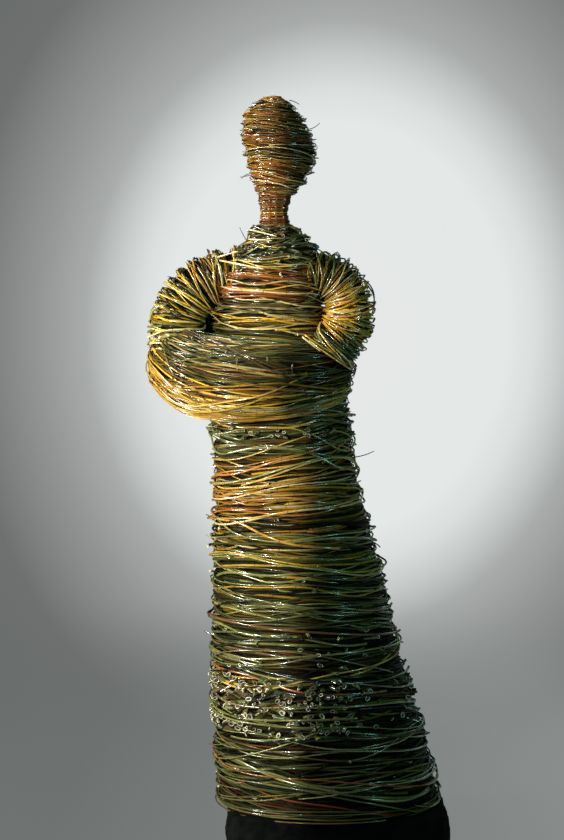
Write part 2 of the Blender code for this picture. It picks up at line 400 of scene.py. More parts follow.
bark = bark_material("willow_bark", 0.40, 0.95)
cut_wood = cut_wood_material()
pith = blotched_material("pith", (0.040, 0.026, 0.012), (0.100, 0.070, 0.036), 300.0, 0.8, 0.0002)
# The deep windings' near-black colour is painted shade between the rods.
deep = blotched_material("deep_winding_painted_shade", (0.005, 0.005, 0.003), (0.018, 0.015, 0.007), 90.0, 0.9, 0.002)
black = blotched_material("blackened_base", (0.0006, 0.0008, 0.0007), (0.0035, 0.0040, 0.0035), 38.0, 0.9,
                          0.003)
print("materials", [finish.name for finish in (bark, cut_wood, pith, deep, black)])

# %% [markdown]
# ## Rods
#
# A rod is a run of points with a radius at each, thick at the butt and thin at the tip. Blender's curves
# give it a round skin with closed ends, so one curve object holds a whole bundle, one spline a rod. It is
# then made a mesh, and each vertex is told the tone of its rod and how far along it lies.

# %% Skin the rods
Rod = namedtuple("Rod", "points radii tone shade")


def skin_rods(name, rods, round_steps):
    curve = bpy.data.curves.new(name, "CURVE")
    curve.dimensions = "3D"
    curve.bevel_depth = 1.0
    curve.bevel_resolution = round_steps
    curve.use_fill_caps = True
    for rod in rods:
        spline = curve.splines.new("POLY")
        count = len(rod.points)
        spline.points.add(count - 1)
        spline.points.foreach_set("co", np.column_stack([rod.points, np.ones(count)]).ravel())
        spline.points.foreach_set("radius", rod.radii)
    holder = bpy.data.objects.new(name + "_curve", curve)
    bpy.context.scene.collection.objects.link(holder)
    mesh = bpy.data.meshes.new_from_object(holder.evaluated_get(bpy.context.evaluated_depsgraph_get()))
    bpy.data.objects.remove(holder)
    bpy.data.curves.remove(curve)
    return mesh


# %% Finish a piece
MERGE = 0.00001             # m, closer vertices are one
triangles = {}


def finish_piece(name, mesh, replaced):
    """Puts a finished mesh in the scene, in place of these solids."""
    piece = bpy.data.objects.new(name, mesh)
    bpy.context.scene.collection.objects.link(piece)
    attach(piece, "root")
    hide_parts(*replaced)
    corners = np.empty(len(mesh.polygons), np.int32)
    mesh.polygons.foreach_get("loop_total", corners)
    triangles[name] = int((corners - 2).sum())
    print(name, "has", triangles[name], "triangles")


# %% Lay rods
BETWEEN_RODS = 0.37         # m added from rod to rod, so that no two have their scars side by side


def lay_rods(name, rods, round_steps, replaced):
    """Makes one piece of all these rods. round_steps 0 gives four sides and 1 gives six."""
    mesh = skin_rods(name, rods, round_steps)
    sides = 4 + 2 * round_steps
    runs = [np.concatenate([[0.0], np.cumsum(np.linalg.norm(np.diff(rod.points, axis=0), axis=1))])
            for rod in rods]
    # The curve's skin has the closed ends first, last rod first, and then every rod's own rings.
    rings = [(index, end) for index in reversed(range(len(rods))) for end in (runs[index][-1], 0.0)]
    rings += [(index, place) for index, run in enumerate(runs) for place in run]
    if len(rings) * sides != len(mesh.vertices):
        raise RuntimeError(name + ": the rods' vertices aren't as counted")
    whose, along = (np.repeat(column, sides) for column in zip(*rings))
    share = along / np.array([run[-1] for run in runs])[whose]
    for label, values in (("tone", np.array([rod.tone for rod in rods])[whose]),
                          ("along", along + whose * BETWEEN_RODS),
                          ("shade", np.array([rod.shade for rod in rods])[whose])):
        mesh.attributes.new(label, "FLOAT", "POINT").data.foreach_set("value", values.astype(np.float32))

    # The flat map gives each rod a strip of its own: along the rod one way, and round it the other.
    while mesh.uv_layers:
        mesh.uv_layers.remove(mesh.uv_layers[0])
    corner = np.empty(len(mesh.loops), np.int32)
    mesh.loops.foreach_get("vertex_index", corner)
    column = 0.15 + 0.7 * np.abs(np.arange(sides) / sides * 2 - 1)
    across = (whose + np.tile(column, len(rings))) / len(rods)
    flat = np.column_stack([share[corner], across[corner]]).astype(np.float32)
    mesh.uv_layers.new(name="OFBake").data.foreach_set("uv", flat.ravel())

    is_end = np.arange(len(mesh.polygons)) < len(rods) * 2 * (sides - 2)
    mesh.materials.clear()
    mesh.materials.append(bark)
    mesh.materials.append(cut_wood)
    mesh.polygons.foreach_set("material_index", is_end.astype(np.int32))
    mesh.polygons.foreach_set("use_smooth", ~is_end)
    shape = bmesh.new()
    shape.from_mesh(mesh)
    bmesh.ops.remove_doubles(shape, verts=shape.verts, dist=MERGE)
    shape.to_mesh(mesh)
    shape.free()
    print(len(rods), "rods:", end=" ")
    finish_piece(name, mesh, replaced)


# %% [markdown]
# ## Winding
#
# Rods are laid in hanks: up to five at a time, side by side and mostly of one colour, round the roll. A hank
# leans a little, so it slants across the front, and the next one leans another way and crosses it. Stiff
# rods don't follow the round closely, here and there one stands off and makes a small loop, and some ends
# spring straight out. Each bundle starts its own random numbers, so a change to one leaves the others alone.

# %% How rods differ
BUTT, TIP = 0.0025, 0.0014              # radius of a rod at its thick end and at its thin end
THICKER = (0.85, 1.15)                  # one rod against its hank
HANK_THICKER = (0.78, 1.25)             # one hank against the others
LEAST_RADIUS = 0.012                    # m, where a form closes
START_SPREAD, PHASE_SPREAD = 0.35, 0.4  # radians between the rods of a hank
LOOSE = 0.45                            # how unevenly a hank's rods are spaced, as a share of the pitch
APART = 0.5                             # how far they lean apart, as a share of the lean
HANK_WAVE = 0.35                        # how far a hank waves, as a share of its lean
UNEVEN = 0.0015                         # m that a rod lies above or below its hank
WAVES = (4, 11)                         # how often a stiff rod strays from the round in one turn
WIDEST_LOOP = 0.30                      # radians
END = 0.06                              # m of each end that springs out or tucks in
SPRUNG, TUCKED = (0.002, 0.012), 0.004  # m
SINK_REACH = 0.025                      # m from the low end over which a form's winding may sink
OWN_TONE = 0.6                          # share of the rods with a tone of their own
TONE_CHANGE = 0.04
BLACKEST, DULL_BLACK = 0.08, 0.6        # the blackest rods hardly shine


def swing(angle, waves):
    """A wave round the form that starts anywhere."""
    return np.cos(waves * angle + rng.uniform(0.0, 6.0))


def near_tone(tone):
    return float(np.clip(tone + rng.normal(0.0, TONE_CHANGE), 0.0, 1.0))


def pick(*choices):
    """One tone of several, each with its weight."""
    tones = [choice[0] for choice in choices]
    weights = np.array([choice[1] for choice in choices], float)
    return float(rng.choice(tones, p=weights / weights.sum()))


# %% Wind hanks
def wind_hanks(form, low, high, out, pitch, cover, lean, tone_of, *, hank=(1, 6), length=(0.8, 1.8),
               thick=1.0, step=0.026, least_steps=14, shade=(0.7, 1.15), layers=0.0012, wander=0.0025,
               flats=0.0020, loops=0.5, loop_size=0.006, narrow=0.10, spring=0.3, slant=0.0,
               limit=(0.012, 0.012), sink=0.0):
    """Rods round a form between two distances along it.

    out is how far they lie from the skin, pitch how far apart, cover the share of the skin that they hide
    and lean how far a turn climbs and falls. A rod has a place every step, wanders up and down, strays from
    the round by up to flats and has some loops, at least narrow wide. spring is the share of the rods whose
    ends stand out. limit is how far rods may stand off, at the low end and at the high end, and sink how far
    they lie deeper at the low end. slant tilts every turn the same way."""
    rods = []
    climb = low
    while climb < high:
        count = int(rng.integers(*hank))
        radius = max(form.radius_at(climb), LEAST_RADIUS)
        rise = count * pitch / cover
        turns = float(np.mean(length)) / radius / math.tau
        hank_tone = tone_of(climb)
        hank_lean = rng.normal(0.0, lean)
        hank_phase = rng.uniform(0.0, math.tau)
        hank_wave = rng.normal(0.0, lean * HANK_WAVE)
        hank_out = out + rng.normal(0.0, layers)
        hank_thick = thick * rng.uniform(*HANK_THICKER)
        start = rng.uniform(0.0, math.tau)
        way = rng.choice([-1.0, 1.0])
        furthest = float(np.interp(climb, [low, high], limit))
        for index in range(count):
            span_angle = rng.uniform(*length) / radius
            steps = max(int(span_angle * radius / step), least_steps)
            turn = np.linspace(0.0, 1.0, steps)
            angle = start + rng.normal(0.0, START_SPREAD) + way * span_angle * turn
            at = (climb + index * pitch + rng.normal(0.0, pitch * LOOSE)
                  + rise * span_angle / math.tau * turn)
            lift = hank_lean + rng.normal(0.0, lean * APART)
            phase = hank_phase + rng.normal(0.0, PHASE_SPREAD)
            path = (at + lift * np.cos(angle - phase) + hank_wave * np.cos(2 * angle + hank_phase)
                    - slant * np.cos(angle)
                    + rng.normal(0.0, wander) * swing(angle, 3)
                    + rng.normal(0.0, wander * 0.4) * swing(angle, 6)
                    + rng.normal(0.0, wander * 2.0) * (turn - 0.5))
            waves = int(rng.integers(*WAVES))
            away = (hank_out + rng.normal(0.0, UNEVEN)
                    + rng.uniform(0.3, 1.0) * min(flats, radius / waves ** 2) * swing(angle, waves))
            for _ in range(rng.poisson(loops)):
                centre = rng.uniform(angle.min(), angle.max())
                width = rng.uniform(narrow, WIDEST_LOOP)
                height = rng.uniform(0.2, 1.0) ** 1.5 * loop_size
                away = away + height * np.exp(-((angle - centre) / width) ** 2)
            near_end = np.maximum(0.0, 1.0 - np.minimum(turn, 1.0 - turn) * span_angle * radius / END)
            if rng.random() < spring:
                away = away + near_end ** 2 * rng.uniform(*SPRUNG)
            else:
                away = away - near_end * TUCKED
            away = np.where(away > 0.0, furthest * np.tanh(away / furthest), away)
            path = np.clip(path, low, form.length - 0.002)
            away = away - sink * np.exp(-(path - low) / SINK_REACH)
            radii = hank_thick * (BUTT + (TIP - BUTT) * turn) * rng.uniform(*THICKER)
            tone = near_tone(tone_of(at[0]) if rng.random() < OWN_TONE else hank_tone)
            bright = rng.uniform(*shade) * (DULL_BLACK if tone < BLACKEST else 1.0)
            rods.append(Rod(form.place(angle, path, away), radii, tone, bright))
        climb += rise * max(turns, 0.25)
    return rods


# %% [markdown]
# ## Where the colours lie on the skirt and torso
#
# The maker changed willow as the winding grew. Going down from the collar there is a chest of gold with
# one red-brown band, a waist of olive and brown, a broad belt of gold, and a skirt that turns to olive,
# brown and dark green towards the hem. Each band below goes up to its height and gives its tones weights.

# %% Body tones
BANDS = [
    # Towards the hem the weight of the dark tones is partly the skirt's own colour and partly painted shade,
    # for the light falling off there.
    (0.24, [(OLIVE, 5), (MOSS, 2.4), (BROWN, 2.2), (DARK, 3), (RED_BROWN, 0.3)]),
    (0.36, [(OLIVE, 4), (MOSS, 3), (BROWN, 2), (RED_BROWN, 0.4), (DARK, 3), (ORANGE, 0.2)]),
    (0.50, [(OLIVE, 4), (MOSS, 3.5), (GOLD, 0.8), (BROWN, 2), (RED_BROWN, 0.7), (DARK, 1.5), (PALE, 0.4)]),
    (0.62, [(OLIVE, 3.5), (MOSS, 3.5), (GOLD, 2.8), (BROWN, 1.4), (DARK, 1.6), (ORANGE, 0.3), (PALE, 0.8)]),
    (0.70, [(MOSS, 3.0), (GOLD, 5), (OLIVE, 2.0), (PALE, 1.0), (ORANGE, 0.4), (BROWN, 1), (DARK, 0.8)]),
    (0.755, [(GOLD, 7), (MOSS, 2.0), (ORANGE, 1.0), (PALE, 1.2), (OLIVE, 1.4)]),
    (0.895, [(GOLD, 8), (ORANGE, 2.0), (PALE, 1.4), (MOSS, 1.2)]),
    (0.965, [(MOSS, 4.5), (PALE, 1.8), (OLIVE, 2.5), (GOLD, 1.0), (RED_BROWN, 0.6), (ORANGE, 0.5)]),
    # At the waist the pale and moss weights are raised, partly for its own pale rods and partly as painted
    # light against the shadow that the folded forearms cast there.
    (1.03, [(BROWN, 1.5), (RED_BROWN, 1.0), (OLIVE, 2.0), (ORANGE, 0.8), (MOSS, 3.0), (PALE, 2.0)]),
    (1.225, [(GOLD, 3), (MOSS, 2), (OLIVE, 1.5), (BROWN, 1), (PALE, 2)]),
    (1.288, [(GOLD, 3.5), (MOSS, 1.5), (OLIVE, 1.5), (BROWN, 1), (PALE, 3), (RED_BROWN, 0.8), (ORANGE, 0.8)]),
    (1.310, [(RED_BROWN, 5), (ORANGE, 2.5), (BROWN, 1), (GOLD, 1.2), (PALE, 0.8)]),
    (1.375, [(GOLD, 5), (MOSS, 2), (PALE, 3.5), (OLIVE, 2.0), (BROWN, 0.8)]),
    (1.42, [(BROWN, 4), (OLIVE, 3), (MOSS, 1), (DARK, 2), (ORANGE, 0.6), (PALE, 0.6)]),
    (9.0, [(OLIVE, 3), (BROWN, 3), (DARK, 3), (PALE, 0.6), (MOSS, 0.6)]),
]


def body_tone(climb):
    height = float(np.interp(climb, body_form.along, body_form.middles[:, 2])) + rng.normal(0.0, 0.004)
    for band_top, choices in BANDS:
        if height < band_top:
            return pick(*choices)
    raise ValueError("no band reaches so high")


def red_tone(_climb):
    return pick((RED_BROWN, 5), (ORANGE, 2), (BROWN, 1))


def dark_tone(_climb):
    return pick((DARK, 4), (BROWN, 1), (OLIVE, 2.5))


# %% [markdown]
# ## The skirt, torso and collar
#
# Five layers lie on each other. The lowest two fill the gaps with rods painted dark as painted shade, the
# next two carry the colour, and a thin outer one crosses them at steeper slants, with more loops. The skirt
# is split from the torso, so that each piece holds fewer triangles.

# %% Wind the body
PITCH = 0.0046
RED_BAND = (1.291, 1.305)       # m above the ground
hem = body_form.climb_at(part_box("body")[0].z) + 0.003
mid_skirt = body_form.climb_at(0.52)
waist = body_form.climb_at(0.99)
collar = body_form.climb_at(1.385)
top = body_form.length - 0.004


def body_layers(low, high, lean, full, limit, light, gaps, stout, length=(0.8, 1.8)):
    """The rods underneath and the rods in view. full is the share of the usual number of rods, light their
    brightness, partly painted light, and gaps that of the rods between them, which is painted shade."""
    # The rods underneath are painted darker by gaps: painted shade between the rods.
    under = wind_hanks(body_form, low, high, -0.0130, PITCH * 1.2, 1.0, lean * 0.3, dark_tone, step=0.060,
                       loops=0.0, spring=0.0, shade=(0.20 * gaps, 0.45 * gaps))
    under += wind_hanks(body_form, low, high, -0.0095, PITCH, 0.95 * full, lean * 0.8, body_tone, step=0.045,
                        loops=0.1, spring=0.0, shade=(0.15 * gaps, 0.45 * gaps))
    shared = dict(limit=limit, wander=0.0062, length=length, thick=stout)
    seen = wind_hanks(body_form, low, high, -0.0055, PITCH * 1.3, 0.70 * full, lean * 1.1, body_tone,
                      loops=0.6, shade=(0.28 * light * gaps, (0.55 + 0.30 * gaps) * light), flats=0.0018,
                      **shared)
    seen += wind_hanks(body_form, low, high, -0.0020, PITCH * 1.5, 0.47 * full, lean * 1.3, body_tone,
                       loops=1.4, loop_size=0.011, flats=0.0042, shade=(0.45 * light, 1.15 * light),
                       **shared)
    seen += wind_hanks(body_form, low, high, 0.0020, PITCH * 1.6, 0.32 * full, lean * 1.35, body_tone,
                       hank=(1, 4), loops=3.6, loop_size=0.018, flats=0.0050, step=0.019, narrow=0.06,
                       spring=0.5, shade=(0.6 * light, 1.25 * light), **shared)
    return under, seen


NODES_BODY = ["body"]
# light is lower on the low skirt, partly for its own darker rods and partly as painted shade, for the light
# falling off towards the hem.
SECTIONS = {
    "skirt_low": dict(low=hem, high=mid_skirt, lean=0.024, full=1.0, limit=(0.0055, 0.0140), light=0.87,
                      gaps=0.28, stout=1.22),
    "skirt_high": dict(low=mid_skirt, high=waist, lean=0.017, full=1.0, limit=(0.0140, 0.0140), light=0.95,
                       gaps=0.62, stout=1.15),
    "torso": dict(low=waist, high=collar, lean=0.006, full=1.0, limit=(0.0120, 0.0100), light=0.86,
                  gaps=0.60, stout=1.0),
    "collar": dict(low=collar, high=top, lean=0.022, full=1.1, limit=(0.0120, 0.0120), light=1.0,
                   gaps=1.6, stout=1.0, length=(0.2, 0.7)),
}
for index, (label, section) in enumerate(SECTIONS.items()):
    rng = np.random.default_rng(100 + index)
    under, seen = body_layers(**section)
    if label == "torso":          # the red-brown band across the chest is laid last and nearly level
        seen += wind_hanks(body_form, *map(body_form.climb_at, RED_BAND), 0.0015, PITCH * 1.1, 0.7, 0.0015,
                           red_tone, flats=0.0030, shade=(0.45, 0.80), spring=0.0, limit=section["limit"])
    lay_rods(label + "_under_rods", under, 0, NODES_BODY)
    lay_rods(label + "_rods", seen, 1, NODES_BODY)

# %% [markdown]
# ## Deep windings
#
# Between two rods the eye falls on older windings in the dark. One smooth roll under each bundle stands for
# them, raised ring by ring from a circle, and its near-black colour is painted shade.

# %% Deep rolls
END_GAP = 0.004             # m between the end of a form and its deep roll
DEEPEST = 0.8               # of the form's radius


def deep_roll(name, form, inset, replaced, rows=48, sides=24):
    shape = bmesh.new()
    bmesh.ops.create_circle(shape, cap_ends=True, segments=sides, radius=1.0)
    shape.faces.ensure_lookup_table()
    face = shape.faces[0]
    first_edges = list(face.edges)
    angles = np.linspace(0.0, math.tau, sides, endpoint=False)
    for index in range(rows):
        if index:
            face = bmesh.ops.extrude_discrete_faces(shape, faces=[face])["faces"][0]
        climb = np.full(sides, END_GAP + (form.length - 2 * END_GAP) * index / (rows - 1))
        depth = min(inset, form.radius_at(climb[0]) * DEEPEST)
        for vertex, place in zip(face.verts, form.place(angles, climb, np.full(sides, -depth))):
            vertex.co = place
    bmesh.ops.holes_fill(shape, edges=[edge for edge in first_edges if edge.is_valid], sides=sides)
    bmesh.ops.recalc_face_normals(shape, faces=shape.faces)
    mesh = bpy.data.meshes.new(name)
    shape.to_mesh(mesh)
    shape.free()
    mesh.materials.append(deep)
    mesh.shade_smooth()
    finish_piece(name, mesh, replaced)


deep_roll("body_deep_winding", body_form, 0.013, NODES_BODY)
deep_roll("head_deep_winding", head_form, 0.008, ["head_and_neck"], rows=24)
deep_roll("neck_deep_winding", neck_form, 0.006, ["head_and_neck"], rows=8)
deep_roll("right_arm_deep_winding", right_arm_form, 0.013, ["right_arm"])
deep_roll("left_arm_deep_winding", left_arm_form, 0.013, ["left_arm"])
deep_roll("forearms_deep_winding", sheaf_form, 0.012, ["forearms"])

# %% [markdown]
# ## The arms
#
# Round each arm the rods run as loops, close together in the crook and fanned out on the outside.

# %% Arm tones and winding
def right_arm_tone(_climb):
    return pick((GOLD, 6), (PALE, 3.0), (MOSS, 1.8), (OLIVE, 1.5), (ORANGE, 1.0), (DARK, 1.2))


def left_arm_tone(_climb):
    return pick((GOLD, 8), (ORANGE, 3), (OLIVE, 1), (PALE, 2), (MOSS, 1), (BROWN, 0.6))


def wind_arm(label, form, tone_of, light, gaps):
    low, high = END_GAP, form.length - END_GAP
    shared = dict(length=(0.7, 1.5), wander=0.0014)
    # The rods underneath are painted darker by gaps: painted shade between the rods.
    under = wind_hanks(form, low, high, -0.0130, 0.0036, 1.0, 0.003, dark_tone, loops=0.0, spring=0.0,
                       shade=(0.25 * gaps, 0.5 * gaps), step=0.036, **shared)
    under += wind_hanks(form, low, high, -0.0090, 0.0034, 0.7, 0.004, tone_of, loops=0.2, spring=0.0,
                        shade=(0.15 * gaps, 0.45 * gaps), step=0.030, **shared)
    shared.update(hank=(1, 4), step=0.020)
    seen = wind_hanks(form, low, high, -0.0050, 0.0050, 0.55, 0.005, tone_of, loops=1.0,
                      shade=(0.25 * light, 0.85 * light), **shared)
    seen += wind_hanks(form, low, high, -0.0010, 0.0056, 0.46, 0.007, tone_of, loops=2.0, loop_size=0.009,
                       shade=(0.5 * light, 1.15 * light), **shared)
    seen += wind_hanks(form, low, high, 0.0025, 0.0060, 0.26, 0.010, tone_of, loops=3.0, loop_size=0.011,
                       shade=(0.7 * light, 1.25 * light), **shared)
    lay_rods(label + "_under_rods", under, 0, [label])
    lay_rods(label + "_rods", seen, 1, [label])


rng = np.random.default_rng(201)
# The left arm is painted brighter than the right one, its rods underneath too: painted light, as it stands
# well lit.
wind_arm("right_arm", right_arm_form, right_arm_tone, 1.0, 1.4)
wind_arm("left_arm", left_arm_form, left_arm_tone, 1.15, 2.2)

# %% [markdown]
# ## The crook of the right arm
#
# The crook between the right arm and the torso isn't open. A flat bundle of short rods binds the arm on
# behind it. It is wound like the arm, on a flat form of its own.

# %% Bind the crook
CROOK_PATH = [
    (-0.052, 0.046, 0.684, 0.009, 0.044),
    (-0.092, 0.050, 0.684, 0.009, 0.046),
    (-0.130, 0.014, 0.684, 0.009, 0.042),
]
binding_form = bent_form(CROOK_PATH, (0.0, 0.0, 1.0))
rng = np.random.default_rng(251)
deep_roll("right_arm_binding_deep_winding", binding_form, 0.003, ["right_arm"], rows=12)
# Its rods are painted darker than the arm's: painted shade in the crook.
binding = wind_hanks(binding_form, 0.0, binding_form.length, 0.0, PITCH, 0.9, 0.012, right_arm_tone,
                     length=(0.2, 0.6), hank=(1, 4), shade=(0.25, 0.75))
lay_rods("right_arm_binding", binding, 0, ["right_arm"])

# %% [markdown]
# ## The folded forearms
#
# Here the rods run lengthwise, in a thick sheaf from behind the right elbow across the front. The upper
# half is laid with fine grey-brown rods, and the lower half with stout golden ones that slant down.

# %% Sheaf tones
SHEAF_TURN = math.radians(-100.0)
ELBOW_SHARE = 0.28          # of the sheaf's length, over which it twists
# Rods deeper than DARK_LAYER are given dark tones as painted shade between the rods.
DARK_LAYER = -0.011         # m from the skin, below which every rod is dark
GOLD_BELOW = -0.30          # sine of the angle under which the rods are golden


def sheaf_turn(share):
    """The sheaf twists sharply at the elbow and hardly at all beyond it."""
    return SHEAF_TURN * (1.0 - np.exp(-share / ELBOW_SHARE))


def sheaf_tone(angle, out):
    if out < DARK_LAYER:
        return dark_tone(0.0)
    if math.sin(angle + float(sheaf_turn(0.5))) > GOLD_BELOW + rng.normal(0.0, 0.12):
        return pick((BROWN, 4), (RED_BROWN, 0.4), (MOSS, 2.2), (OLIVE, 4), (PALE, 2.0), (DARK, 1.2),
                    (GOLD, 0.4))
    return pick((GOLD, 8), (ORANGE, 4), (PALE, 0.8), (MOSS, 0.5), (BROWN, 0.6))


# %% Lengthwise rods
GOLD_THICK, BROWN_THICK = 0.90, 0.58
# The golden rods stop further short, so the sheaf's far end is darker: partly its own darker rods and partly
# painted shade.
GOLD_SHORT, BROWN_SHORT = 0.20, -0.05   # share of the sheaf that the rods stop short of its end
DIVE, DIVE_REACH = 0.007, 0.07          # m that an end dives into the sheaf, and over what length
# Each layer's distance from the skin, number of rods round the sheaf, metres between places, shades and
# how far the rods cross each other.
# The deeper layers have lower shades: painted shade between the rods.
SHEAF_UNDER = [(-0.0125, 84, 0.05, (0.3, 0.6), 0.3), (-0.0090, 90, 0.04, (0.25, 0.6), 0.4)]
SHEAF_SEEN = [(-0.0055, 90, 0.024, (0.25, 0.9), 0.45), (-0.0020, 72, 0.022, (0.35, 0.98), 0.65),
              (0.0018, 52, 0.020, (0.45, 1.0), 0.85)]


def sheaf_rods(form, layers):
    rods = []
    for out, count, step, shades, cross in layers:
        index = 0
        while index < count:
            hank = int(rng.integers(1, 5))
            base_angle = math.tau * index / count
            drift = rng.normal(0.0, cross)
            wave = rng.normal(0.0, cross * 0.5)
            hank_out = out + rng.normal(0.0, 0.0014)
            phase = rng.uniform(0.0, math.tau)
            hank_tone = sheaf_tone(base_angle, out)
            gold = hank_tone >= ORANGE - 0.1
            hank_thick = rng.uniform(0.8, 1.2)
            for member in range(hank):
                begin = max(0.0, rng.normal(-0.04, 0.10)) * form.length
                short = max(0.0, rng.normal(GOLD_SHORT if gold else BROWN_SHORT, 0.10))
                end = form.length * (1.0 - short)
                steps = max(int((end - begin) / step), 8)
                climb = np.linspace(begin, end, steps)
                share = climb / form.length
                angle = (base_angle + math.tau * member / count + sheaf_turn(share)
                         + (drift + rng.normal(0.0, 0.16)) * (share - 0.5)
                         + (wave + rng.normal(0.0, 0.06)) * np.sin(math.tau * share + phase)
                         + rng.normal(0.0, 0.05)
                         + rng.normal(0.0, 0.035) * np.sin(rng.uniform(10.0, 24.0) * share + phase))
                away = (hank_out + rng.normal(0.0, 0.0010) + rng.uniform(0.5, 2.5) * 0.001
                        * np.sin(share * rng.integers(10, 36) + rng.uniform(0.0, 6.0)))
                away = away - DIVE * np.clip(1.0 - (end - climb) / DIVE_REACH, 0.0, 1.0) ** 2
                thin = hank_thick * (GOLD_THICK if gold else BROWN_THICK)
                radii = thin * np.linspace(BUTT, TIP * 1.2, steps) * rng.uniform(*THICKER)
                if rng.random() < 0.5:
                    radii = radii[::-1].copy()
                tone = sheaf_tone(base_angle, out) if rng.random() < 0.55 else hank_tone
                rods.append(Rod(form.place(angle, climb, away), radii, near_tone(tone),
                                rng.uniform(*shades)))
            index += hank
    return rods


rng = np.random.default_rng(301)
lay_rods("forearms_under_rods", sheaf_rods(sheaf_form, SHEAF_UNDER), 0, ["forearms"])
lay_rods("forearms_rods", sheaf_rods(sheaf_form, SHEAF_SEEN), 1, ["forearms"])

# %% [markdown]
# ## The head
#
# The head is an egg without a face, wound with the finest rods, orange-brown and falling to one side.

# %% Wind the head
CROWN = 0.055               # m down from the top, over which the last rods cross each other


def head_tone(_climb):
    return pick((ORANGE, 4), (RED_BROWN, 2), (BROWN, 2.5), (GOLD, 1.2), (PALE, 2.6), (OLIVE, 1), (DARK, 0.8))


def wind_head():
    low, high = 0.0, head_form.length - END_GAP
    shared = dict(length=(0.16, 0.50), hank=(1, 4), thick=0.50, wander=0.0018, slant=0.010, layers=0.0009,
                  limit=(0.003, 0.010), least_steps=10, sink=0.006)
    # The two deepest layers are painted darker: painted shade between the rods.
    under = wind_hanks(head_form, low, high, -0.0080, 0.0034, 1.0, 0.003, head_tone, loops=0.0, spring=0.0,
                       shade=(0.15, 0.35), step=0.04, **shared)
    seen = wind_hanks(head_form, low, high, -0.0050, 0.0030, 0.66, 0.005, head_tone, loops=0.4,
                      loop_size=0.004, shade=(0.15, 0.42), step=0.020, **shared)
    seen += wind_hanks(head_form, low, high, -0.0025, 0.0032, 0.56, 0.006, head_tone, loops=0.5,
                       loop_size=0.006, shade=(0.35, 0.95), step=0.018, **shared)
    seen += wind_hanks(head_form, low, high, 0.0004, 0.0036, 0.46, 0.010, head_tone, loops=1.4,
                       loop_size=0.012, shade=(0.45, 1.4), step=0.018, spring=0.5, **shared)
    seen += wind_hanks(head_form, head_form.length - CROWN, high, -0.0030, 0.0034, 0.16, 0.036, head_tone,
                       loops=1.0, loop_size=0.005, step=0.020, **shared)
    lay_rods("head_under_rods", under, 0, ["head_and_neck"])
    lay_rods("head_rods", seen, 1, ["head_and_neck"])


rng = np.random.default_rng(401)
wind_head()

# %% [markdown]
# ## The neck
#
# The neck is true basketry: upright stakes, closely covered by fine weavers. Each weaver swells out over a
# stake and dips between two, so the stakes show as ribs.

# %% Stakes and weavers
STAKES = 11
STAKE_RADIUS, STAKE_OUT, STAKE_STEPS = 0.0026, -0.0040, 9
WEAVER_ROWS = 84
WEAVER_RADIUS, WEAVER_OUT, WEAVER_SWELL = 0.0015, -0.0008, 0.0014
TURN_ON = 0.9               # radians that each row starts further round


def weave_neck():
    rods = []
    for stake in range(STAKES):
        angle = math.tau * (stake + 0.5) / STAKES
        climb = np.linspace(0.0, neck_form.length, STAKE_STEPS)
        points = neck_form.place(np.full(STAKE_STEPS, angle), climb, np.full(STAKE_STEPS, STAKE_OUT))
        rods.append(Rod(points, np.full(STAKE_STEPS, STAKE_RADIUS),
                        pick((ORANGE, 3), (RED_BROWN, 2), (BROWN, 1)), rng.uniform(0.8, 1.1)))
    lowest = neck_form.climb_at(1.425)
    steps = STAKES * 5
    turn = np.linspace(0.0, 1.0, steps)
    for row in range(WEAVER_ROWS):
        angle = math.tau * turn + row * TURN_ON
        rows_up = row + 0.8 * turn + rng.normal(0.0, 0.15)
        climb = lowest + (neck_form.length - lowest) * rows_up / WEAVER_ROWS
        over = -WEAVER_SWELL * np.cos(STAKES * angle) + rng.uniform(0.0, 0.0008) * swing(angle, 3)
        rods.append(Rod(neck_form.place(angle, climb, over + WEAVER_OUT), np.full(steps, WEAVER_RADIUS),
                        pick((ORANGE, 4), (RED_BROWN, 2), (BROWN, 2.5), (GOLD, 0.6)),
                        rng.uniform(0.35, 0.85)))
    return rods


rng = np.random.default_rng(501)
lay_rods("neck_weave", weave_neck(), 0, ["head_and_neck"])

# %% [markdown]
# ## Cut ends
#
# Where a rod begins, its thick butt is cut at a slant and left to stick out. It shows a pale oval of wood
# with a darker pith. One butt is modelled from a short cone: its outer face is sheared, then inset twice
# for rim, wood and pith. Copies of it are turned and set where the maker left them.

# %% One cut end
BUTT_LENGTH = 5.0           # in widths of the butt
CUT_SLANT = 0.95
RIM, WOOD = 0.05, 0.16      # widths of the rim of bark and of the ring of wood
PITH_DEPTH = 0.08


def model_cut_end():
    """A butt along +Z, 1 wide across, whose slanted face has a rim of bark and a sunk pith."""
    shape = bmesh.new()
    layers = [shape.verts.layers.float.new(label) for label in ("tone", "along", "shade")]
    bmesh.ops.create_cone(shape, cap_ends=True, segments=9, radius1=0.40, radius2=0.50, depth=BUTT_LENGTH)
    shape.faces.ensure_lookup_table()
    face = max(shape.faces, key=lambda item: item.calc_center_median().z)
    for vertex in face.verts:
        vertex.co.z += vertex.co.x * CUT_SLANT
    bmesh.ops.inset_region(shape, faces=[face], thickness=RIM, depth=0.0)
    face.material_index = 1
    bmesh.ops.inset_region(shape, faces=[face], thickness=WOOD, depth=-PITH_DEPTH)
    for edge in face.edges:
        for neighbour in edge.link_faces:
            neighbour.material_index = 1
    face.material_index = 2
    for vertex in shape.verts:
        for layer, value in zip(layers, (0.5, vertex.co.z * 0.003, 1.0)):
            vertex[layer] = value
    mesh = bpy.data.meshes.new("cut_end")
    shape.to_mesh(mesh)
    shape.free()
    return mesh


cut_end = model_cut_end()
print("one cut end has", len(cut_end.polygons), "faces")


# %% Set cut ends
def spot(form, angle, climb, out):
    return Vector(form.place(np.array([angle]), np.array([climb]), np.array([out]))[0])


